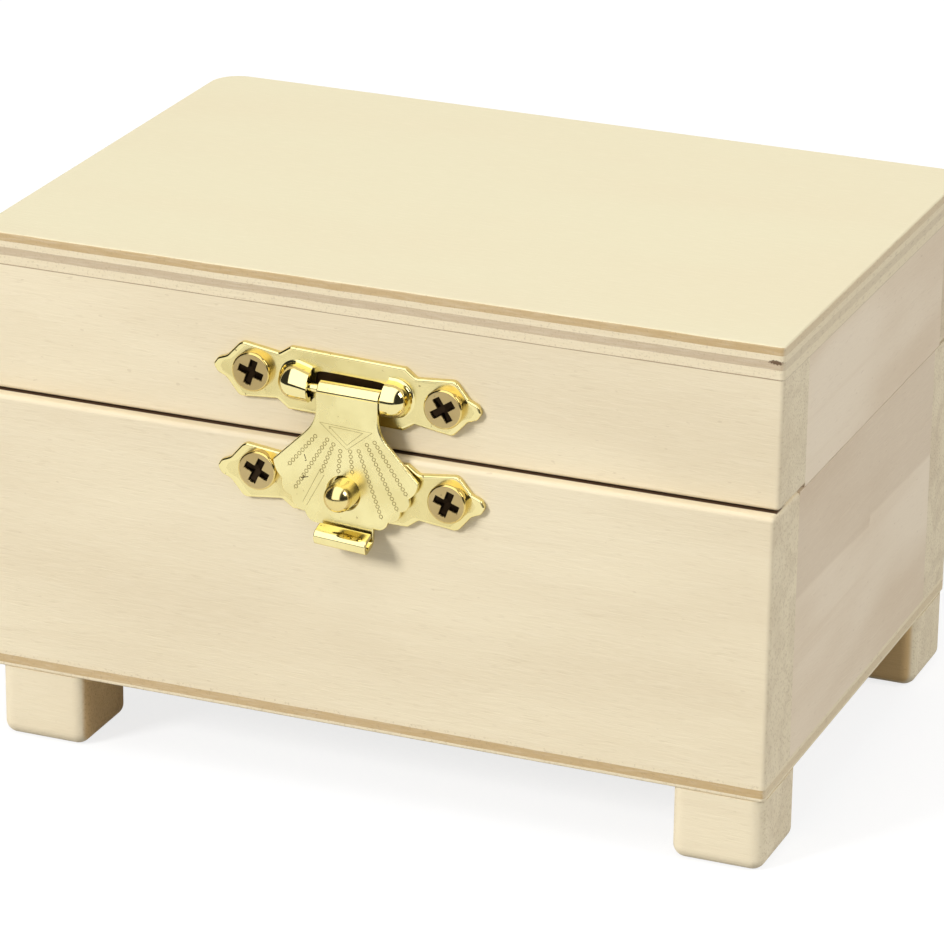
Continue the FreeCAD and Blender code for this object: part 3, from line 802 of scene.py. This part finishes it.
def dome(facing, gap, straight, lean, narrow, drop):
    """One domed knuckle. A run along the base, straight and then half round the nose, is carried
    up a profile: a small fillet off the plate, the wall, then a quarter circle to the crest. At
    the mouth the base stands further out by the lean, and the section is narrower and lower."""
    along = np.linspace(0, straight, 10)[:-1]
    nose = np.linspace(-np.pi / 2, np.pi / 2, 49)
    spine = np.concatenate((along, np.full(nose.size, straight), along[::-1]))
    out_x = np.concatenate((0 * along, np.cos(nose), 0 * along))
    out_z = np.concatenate((0 * along - 1, np.sin(nose), 0 * along + 1))
    fillet = np.linspace(0, np.pi / 2, 7)
    crown = np.linspace(0, np.pi / 2, 20)
    reach = np.concatenate((
        DOME_RADIUS + DOME_FILLET * (1 - np.sin(fillet)),
        DOME_RADIUS * np.cos(crown),
    ))
    rise = np.concatenate((DOME_FILLET * (1 - np.cos(fillet)), DOME_LIFT + DOME_RADIUS * np.sin(crown)))
    height = DOME_LIFT + DOME_RADIUS
    to_mouth = 1 - spine[None] / straight
    x = spine[None] + reach[:, None] * out_x[None] + lean * to_mouth * (1 - rise[:, None] / height)
    z = reach[:, None] * out_z[None] * (1 - narrow * to_mouth) - drop * to_mouth
    y = -rise[:, None] + 0 * x
    outer = np.stack((facing * x, y, z), axis=-1)
    crown = np.linspace(0, np.pi, 41)
    inner = DOME_RADIUS - DOME_WALL
    rims = []
    for radius, depth in ((DOME_RADIUS, 0.0), (inner, 0.0), (inner, straight + HOLLOW_BEYOND)):
        ring_z = -radius * np.cos(crown) * (1 - narrow) - drop
        ring_y = -DOME_LIFT - radius * np.sin(crown)
        ring_x = depth + lean * (1 + ring_y / height)
        rims.append(np.stack((facing * ring_x, ring_y, ring_z), axis=-1))
    mouth = np.stack(rims)
    start = CLASP_AXIS + (facing * (NECK_HALF_WIDTH + gap), 0, 0)
    start[1] = UPPER_PLATE_CENTRE[1]
    return tilted(outer + start, CLASP_TILT), tilted(mouth + start, CLASP_TILT)


# Near black brass: real tarnish in the hasp's nicks, and painted shade on the floor of the upper plate's
# pocket behind the barrel.
tarnish_and_pocket_shade = metal("tarnish_and_pocket_shade", (0.07, 0.04, 0.02), 0.6, 0.2, (0.03, 0.02, 0.01))
pocketed = tilted(pressed_plate(UPPER_PLATE_CENTRE, POCKET), CLASP_TILT)
# The pocket's floor takes the third material, painted near black as the shade behind the barrel.
upper_grids = plate_grids(pocketed[:-2]) + [(pocketed[-3:], True, False, 2)]
for facing, *measures in DOMES:
    outer, mouth = dome(facing, *measures)
    upper_grids.append((outer, False, facing > 0, 1))
    upper_grids.append((mouth, False, facing > 0, 1))
sheet_piece(
    "upper_plate_pressed",
    upper_grids,
    [plate_brass, bright_brass, tarnish_and_pocket_shade],
    "lid",
    ["clasp_upper_plate"],
)
dressed("clasp_hinge_pin", bright_brass)


# Hasp. One strip of brass sheet: curled round the pin above, a scalloped fan in the middle with
# a hole for the stud, and rolled into a flattened finger lip below.

HASP_TILT = 1.2028
HASP_THICKNESS = 0.5
BACK_ROUND = 0.06
FRONT_ROUND = 0.16
HOLE_ROUND = 0.12
CURL_ROUND = 0.1
EDGE_FADE = 1.6
BARREL_OUTER = 1.03
BARREL_MIDDLE = BARREL_OUTER - HASP_THICKNESS / 2
BARREL_CLOSES_AT = -110
NECK_LENGTH = 3.3
NECK_ROUND = 4.0
FAN_CENTRE_DEPTH = 6.9
FAN_CORNER = (8.25, -8.5)
FAN_NOTCH_RADIUS = 7.8
FAN_BULGE = 0.4
FAN_LOBES = 4
FINGER_HALF_WIDTH = 2.91
FINGER_DEPTH = 15.2
FINGER_SHIFT = 0.39
FINGER_AXES = (1.0, 0.60)
FINGER_LEAN = math.radians(16)
FINGER_POWER = 0.60
FINGER_CLOSES_AT = -298
FINGER_SLANT = math.tan(math.radians(2.6))
STUD_HOLE = (-0.15, -10.57)
STUD_HOLE_RADIUS = 1.86

hasp_brass = metal("hasp_brass", (0.89, 0.80, 0.41), 0.21, 0.8, (0.25, 0.17, 0.06))


def fan_point(angle, radius):
    """A point (x, z) at an angle in degrees on a circle about the fan's centre."""
    turn = np.radians(angle)
    return np.stack((radius * np.cos(turn), radius * np.sin(turn) - FAN_CENTRE_DEPTH), axis=-1)


def arc_through(first, crest, last, count):
    """Points on the circle through three points, from the first to the last."""
    bx, bz = crest - first
    cx, cz = last - first
    twice = 2 * (bx * cz - bz * cx)
    to_crest, to_last = bx * bx + bz * bz, cx * cx + cz * cz
    centre = first + np.array((cz * to_crest - bz * to_last, bx * to_last - cx * to_crest)) / twice
    angles = np.arctan2(*(np.array((first, crest, last)) - centre).T[::-1])
    angles = np.unwrap(angles)
    run = np.linspace(angles[0], angles[2], count)
    radius = np.hypot(*(first - centre))
    return centre + radius * np.stack((np.cos(run), np.sin(run)), axis=-1)


def hasp_outline(count):
    """The blade's outline, clockwise from the left end of its top edge: neck, flare, scallops and
    finger tab down the right, and the same mirrored up the left."""
    bend = np.array((NECK_HALF_WIDTH, -NECK_LENGTH))
    corner = fan_point(FAN_CORNER[1], FAN_CORNER[0])
    flare = (corner - bend) / np.hypot(*(corner - bend))
    half = np.arccos(flare @ (0, 1)) / 2
    reach = NECK_ROUND / np.tan(half)
    start, last = bend + (0, reach), bend + flare * reach
    bisector = (flare + (0, 1)) / np.hypot(*(flare + (0, 1)))
    crest = bend + bisector * (NECK_ROUND / np.sin(half) - NECK_ROUND)
    neck = [np.array(((NECK_HALF_WIDTH, 0.0),)), arc_through(start, crest, last, 40)]
    sides = []
    for finger_reach in (FINGER_HALF_WIDTH + FINGER_SHIFT, FINGER_HALF_WIDTH - FINGER_SHIFT):
        runs = list(neck)
        last_angle = math.degrees(math.asin(finger_reach / FAN_NOTCH_RADIUS)) - 90
        step = (last_angle - FAN_CORNER[1]) / FAN_LOBES
        here = corner
        for lobe in range(FAN_LOBES):
            angle = FAN_CORNER[1] + (lobe + 1) * step
            crest = fan_point(angle - step / 2, FAN_NOTCH_RADIUS + FAN_BULGE)
            there = fan_point(angle, FAN_NOTCH_RADIUS)
            runs.append(arc_through(here, crest, there, 24))
            here = there
        runs.append(np.array(((finger_reach, -FINGER_DEPTH),)))
        sides.append(np.vstack(runs))
    right, left = sides[0], sides[1][::-1] * (-1, 1)
    right[-1, 1] -= FINGER_SLANT * FINGER_HALF_WIDTH
    left[0, 1] += FINGER_SLANT * FINGER_HALF_WIDTH
    return evenly(np.vstack((right, left)), count)


def blade(count, rows):
    """The flat of the hasp as a closed ring of sheet about the stud's hole: from the hole's edge
    out over the front face, round the outline's edge and back in behind. The edges are round
    except where the sheet runs on into its curls."""
    outline = hasp_outline(count)
    out = outward(outline)
    hole = np.array(STUD_HOLE)
    spoke = np.arctan2(*(outline - hole).T[::-1])
    ring = np.stack((np.cos(spoke), np.sin(spoke)), axis=-1)
    finger_start = -FINGER_DEPTH - FINGER_SLANT * (outline[:, 0] - FINGER_SHIFT)
    from_curls = np.minimum(-outline[:, 1], outline[:, 1] - finger_start)
    ease = np.clip(from_curls / EDGE_FADE, 0, 1)
    ease = ease * ease * (3 - 2 * ease)
    inset, depth = edge_profile(HASP_THICKNESS, BACK_ROUND, FRONT_ROUND)
    rim = outline[None] - (inset[:, None] * ease[None])[..., None] * out[None]
    square = np.where(depth > HASP_THICKNESS / 2, HASP_THICKNESS, 0.0)
    rim_y = depth[:, None] * ease + square[:, None] * (1 - ease)
    front = rim[-1]
    hole_inset, hole_depth = edge_profile(HASP_THICKNESS, BACK_ROUND, HOLE_ROUND)
    bore = hole + (STUD_HOLE_RADIUS + hole_inset[:, None, None]) * ring[None]
    bore_y = hole_depth[:, None] * np.ones(count)
    share = np.linspace(0, 1, rows)[1:-1, None, None]
    face = bore[-1][None] * (1 - share) + front[None] * share
    inward = np.array((0.5, 1.0))[:, None, None]
    back = rim[0][None] * (1 - inward) + bore[0][None] * inward
    grids = np.concatenate((bore, face, rim[::-1], back))
    y = np.concatenate((
        bore_y, np.zeros((len(face), count)), rim_y[::-1], np.full((2, count), HASP_THICKNESS),
    ))
    return np.stack((grids[..., 0], y - BARREL_OUTER, grids[..., 1]), axis=-1)


def curl(first, half_axes, power, lean, start, end, half_width, steps):
    """A curl of sheet: a closed section of sheet thickness with eased edges, carried in the YZ
    plane along |y / a| ^ (2 / power) + |z / b| ^ (2 / power) = 1 from one angle to another (0
    points back along +Y, 90 up), turned by the lean and moved so that it starts at the first
    point. The section stands square to the path."""
    inset, depth = edge_profile(HASP_THICKNESS, CURL_ROUND, CURL_ROUND)
    across = np.concatenate((half_width - inset, (inset - half_width)[::-1]))
    off = np.concatenate((HASP_THICKNESS / 2 - depth, (HASP_THICKNESS / 2 - depth)[::-1]))
    turn = np.radians(np.linspace(start, end, steps))[:, None]
    deep, high = half_axes
    side, rise = np.cos(turn), np.sin(turn)
    square_u = np.sign(side) * np.abs(side) ** (2 - power) / deep
    square_w = np.sign(rise) * np.abs(rise) ** (2 - power) / high
    long = np.hypot(square_u, square_w)
    u = deep * np.sign(side) * np.abs(side) ** power + off * square_u / long
    w = high * np.sign(rise) * np.abs(rise) ** power + off * square_w / long
    y = u * math.cos(lean) - w * math.sin(lean)
    z = u * math.sin(lean) + w * math.cos(lean)
    y += first[0] - y[0].mean()
    z += first[1] - z[0].mean()
    swept = np.stack((across[None] + 0 * y, y, z), axis=-1)
    caps = []
    for edge in (swept[:1], swept[-1:]):
        middle = edge.mean(axis=1, keepdims=True) + 0 * edge
        middle[..., 0] = edge[..., 0]
        caps.append(middle)
    return np.concatenate((caps[0], swept, caps[1]))


def placed_hasp(points):
    """Points about the pin's middle, put on the pin and let hang at the hasp's own tilt."""
    return tilted(points + CLASP_AXIS, HASP_TILT)


flat = placed_hasp(blade(OUTLINE_POINTS, 96))
barrel_axes = (BARREL_MIDDLE, BARREL_MIDDLE)
barrel = curl((-BARREL_MIDDLE, 0), barrel_axes, 1, 0, 180, BARREL_CLOSES_AT, NECK_HALF_WIDTH, 60)
barrel = placed_hasp(barrel)
deep, high = FINGER_AXES
begin = -math.degrees(math.atan((high / deep * math.tan(FINGER_LEAN)) ** (1 / (2 - FINGER_POWER))))
finger = curl(
    (-BARREL_MIDDLE, -FINGER_DEPTH), FINGER_AXES, FINGER_POWER, FINGER_LEAN,
    begin, FINGER_CLOSES_AT, FINGER_HALF_WIDTH, 96,
)
finger[..., 2] -= FINGER_SLANT * finger[..., 0]
finger = placed_hasp(finger + (FINGER_SHIFT, 0, 0))
sheet_piece(
    "hasp_pressed",
    [(flat, True, False, 0), (barrel, True, False, 1), (finger, True, False, 1)],
    [hasp_brass, bright_brass],
    "hasp",
    ["clasp_hasp"],
)


# Engraving. A common shell ornament rolled into the hasp: two nested triangles, and chains of
# small rings and a long loop that spread down the fan. The lines are dull, as polish doesn't reach
# them, and a few nicks in the face are dark with tarnish.

TRIANGLES = (
    ((-2.95, -3.15), (2.95, -3.35), (0.18, -5.68)),
    ((-1.9, -3.42), (1.9, -3.56), (0.16, -5.18)),
)
CHAINS = (
    (-3.40, -4.80, -6.45, -8.60),
    (-2.05, -4.95, -5.55, -10.90),
    (-1.35, -5.35, -2.75, -8.90),
    (-0.55, -5.95, -0.72, -8.20),
    (0.55, -5.80, 0.85, -8.20),
    (1.50, -5.60, 4.25, -12.60),
    (2.40, -4.75, 6.10, -11.60),
    (3.25, -4.35, 7.00, -9.60),
)
LONG_LOOP = ((-2.75, -8.3, -4.65, -12.3), (-2.3, -8.9, -4.2, -12.6))
NICKS = (
    (-4.6, -7.0, -4.4, -7.5),
    (-4.5, -7.7, -4.3, -7.6),
    (-4.9, -9.7, -4.1, -9.4),
    (-4.6, -9.3, -4.7, -9.9),
)
RING_STEPS = 14
WIRE_STEPS = 5
LINK_RADIUS = 0.19
LINK_PITCH = 0.56
LINE_HALF_WIDTH = 0.04
NICK_HALF_WIDTH = 0.09
LINE_HEIGHT = 0.03

dull_brass = metal("dull_brass", (0.40, 0.32, 0.13), 0.45, 0.5, (0.16, 0.11, 0.04))


def lines(ends, half_width):
    """Each (x, z, x, z) line as a low roof: two base edges half a width out, sunk as deep as the
    ridge between them is high, closed by a three-cornered face at each end."""
    ends = np.array(ends, float).reshape(-1, 2, 2)
    along = ends[:, 1] - ends[:, 0]
    along /= np.linalg.norm(along, axis=1, keepdims=True)
    side = np.stack((-along[:, 1], along[:, 0]), axis=-1)[:, None, None] * half_width
    across = np.array((-1.0, 0.0, 1.0))[None, None, :, None]
    place = ends[:, :, None] + side * across
    lift = np.broadcast_to(np.array((-1.0, 1.0, -1.0)) * LINE_HEIGHT, place.shape[:3])
    points = np.stack((place[..., 0], -BARREL_OUTER - lift, place[..., 1]), axis=-1).reshape(-1, 3)
    corners = np.array(((0, 1, 4, 3), (1, 2, 5, 4), (2, 0, 3, 5)))
    caps = np.array(((2, 1, 0), (3, 4, 5)))
    start = 6 * np.arange(len(ends))[:, None, None]
    return points, (start + corners).reshape(-1, 4).tolist() + (start + caps).reshape(-1, 3).tolist()


def rings(centres):
    """Small rings of wire, half sunk: the distance from each centre is the ring's radius plus the
    wire's half width times a cosine, and the height is the line's height times the sine."""
    round_ring = np.linspace(0, 2 * np.pi, RING_STEPS, endpoint=False)[None, :, None]
    about = np.linspace(0, 2 * np.pi, WIRE_STEPS, endpoint=False)[None, None, :]
    reach = LINK_RADIUS + LINE_HALF_WIDTH * np.cos(about)
    x = centres[:, 0, None, None] + reach * np.cos(round_ring)
    z = centres[:, 1, None, None] + reach * np.sin(round_ring)
    y = -BARREL_OUTER - LINE_HEIGHT * np.sin(about) + 0 * x
    points = np.stack((x, y, z), axis=-1).reshape(-1, 3)
    step, turn = np.arange(RING_STEPS)[:, None], np.arange(WIRE_STEPS)[None, :]
    after, beside = (step + 1) % RING_STEPS, (turn + 1) % WIRE_STEPS
    corners = ((step, turn), (step, beside), (after, beside), (after, turn))
    quads = np.stack([a * WIRE_STEPS + b for a, b in corners], axis=-1)
    start = RING_STEPS * WIRE_STEPS * np.arange(len(centres))[:, None, None]
    return points, (start + quads.reshape(-1, 4)).reshape(-1, 4).tolist()


centres, bars = [], []
for start_x, start_z, end_x, end_z in CHAINS:
    first, last = np.array((start_x, start_z)), np.array((end_x, end_z))
    length = np.hypot(*(last - first))
    at = first + (last - first) * np.arange(0, length, LINK_PITCH)[:, None] / length
    step = (last - first) / length
    centres.append(at)
    bars.append(np.hstack((at + step * LINK_RADIUS, at + step * (LINK_PITCH - LINK_RADIUS))))
for corners in TRIANGLES:
    loop = np.array(corners)
    bars.append(np.hstack((loop, np.roll(loop, -1, axis=0))))
bars.append(np.array(LONG_LOOP))
links = rings(np.vstack(centres))
parts = [links, lines(np.vstack(bars), LINE_HALF_WIDTH), lines(NICKS, NICK_HALF_WIDTH)]
points, faces = [], []
for part_points, part_faces in parts:
    start = sum(len(done) for done in points)
    points.append(part_points)
    faces.extend([[corner + start for corner in face] for face in part_faces])
engraved = bpy.data.meshes.new("hasp_engraving")
engraved.from_pydata(placed_hasp(np.vstack(points)) * MM, [], faces)
engraved.materials.append(dull_brass)
engraved.materials.append(tarnish_and_pocket_shade)
marks = np.zeros(len(faces), np.int32)
marks[-len(parts[2][1]):] = 1
engraved.polygons.foreach_set("material_index", marks)
engraved.update()
engraving = bpy.data.objects.new("hasp_engraving", engraved)
bpy.context.scene.collection.objects.link(engraving)
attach(engraving, "hasp")


# Clasp screws. Pan-headed brass screws, satin tan on the face and brighter at the side, each with
# a tapered cross recess painted near black as shade; two hold each plate.

LOWER_SCREWS = ((-10.12, 0.5), (11.18, 0.2))
UPPER_SCREWS = ((-10.37, 0.2), (11.15, 0.1))
HEAD_RADIUS = 2.15
HEAD_HEIGHT = 0.98
HEAD_ROUND = 0.25
SKIRT_HEIGHT = 0.4
SIDE_ROWS = 7
CROSS_REACH = 1.42
CROSS_HALF_WIDTH = 0.42
CROSS_DEPTH = 0.85
CROSS_EASING = 0.07
SHADE_FROM_DEPTH = 0.18

screw_face = metal("screw_face", (0.56, 0.43, 0.20), 0.34, 0.7, (0.16, 0.10, 0.05))
screw_side = metal("screw_side", (0.72, 0.56, 0.20), 0.12, 0.7, (0.16, 0.10, 0.05))
# Painted shade: the cross recesses are coloured near black, for the shade inside them.
recess_painted_shade = metal("recess_painted_shade", (0.035, 0.022, 0.012), 0.5, 0.6, (0.01, 0.007, 0.005))


def screw_head(centre, cross_turn):
    """A pan head as rings from its skirt over the rounded edge to the middle of its face, and how
    far each point is sunk: inside a cross of two bars, deeper from its edge inwards, and less
    towards the bars' ends."""
    edge = np.linspace(0, np.pi / 2, 7)
    face = np.linspace(HEAD_RADIUS - HEAD_ROUND, 0, 46)[1:]
    over = HEAD_RADIUS - HEAD_ROUND * (1 - np.cos(edge))
    radius = np.concatenate(((HEAD_RADIUS, HEAD_RADIUS), over, face))[:, None]
    up_edge = HEAD_HEIGHT - HEAD_ROUND * (1 - np.sin(edge))
    height = np.concatenate(((0.0, SKIRT_HEIGHT), up_edge, np.full(len(face), HEAD_HEIGHT)))[:, None]
    angle = np.linspace(0, 2 * np.pi, 160, endpoint=False)
    x, z = radius * np.sin(angle), radius * np.cos(angle)
    turn = math.radians(cross_turn)
    u = np.abs(x * math.cos(turn) + z * math.sin(turn))
    v = np.abs(z * math.cos(turn) - x * math.sin(turn))
    bar = np.minimum(CROSS_REACH - np.maximum(u, v), CROSS_HALF_WIDTH - np.minimum(u, v))
    slope = np.clip(bar / CROSS_EASING, 0, 1)
    taper = 1 - 0.55 * np.clip(np.maximum(u, v) / CROSS_REACH, 0, 1)
    sunk = CROSS_DEPTH * slope * taper
    return np.stack((x, sunk - height, z), axis=-1) + centre, sunk


def screws(name, body, centres, turns, node):
    """The two heads of one plate: painted near black as shade where a face's mean depth is past the
    limit, and bright round the side."""
    grids, marks = [], []
    for centre, cross_turn in zip(centres, turns):
        points, sunk = screw_head(centre, cross_turn)
        grids.append((points, True, False, 0))
        quads = grid_faces(*sunk.shape, True)
        # Faces sunk past the limit take the near black recess material, as painted shade.
        mark = (sunk.reshape(-1)[quads].mean(1) > SHADE_FROM_DEPTH).astype(np.int32)
        mark[: SIDE_ROWS * sunk.shape[1]] = 2
        marks.append(mark)
    made = sheet_piece(name, grids, [screw_face, recess_painted_shade, screw_side], body, [node], 50)
    made.data.polygons.foreach_set("material_index", np.concatenate(marks))


lower_centres = [LOWER_PLATE_CENTRE + (x, 0, z) for x, z in LOWER_SCREWS]
upper_centres = [tilted(UPPER_PLATE_CENTRE + (x, 0, z), CLASP_TILT) for x, z in UPPER_SCREWS]
screws("lower_screws_turned", "box", lower_centres, (-25, -20), "clasp_lower_screws")
screws("upper_screws_turned", "lid", upper_centres, (-18, 33), "clasp_upper_screws")
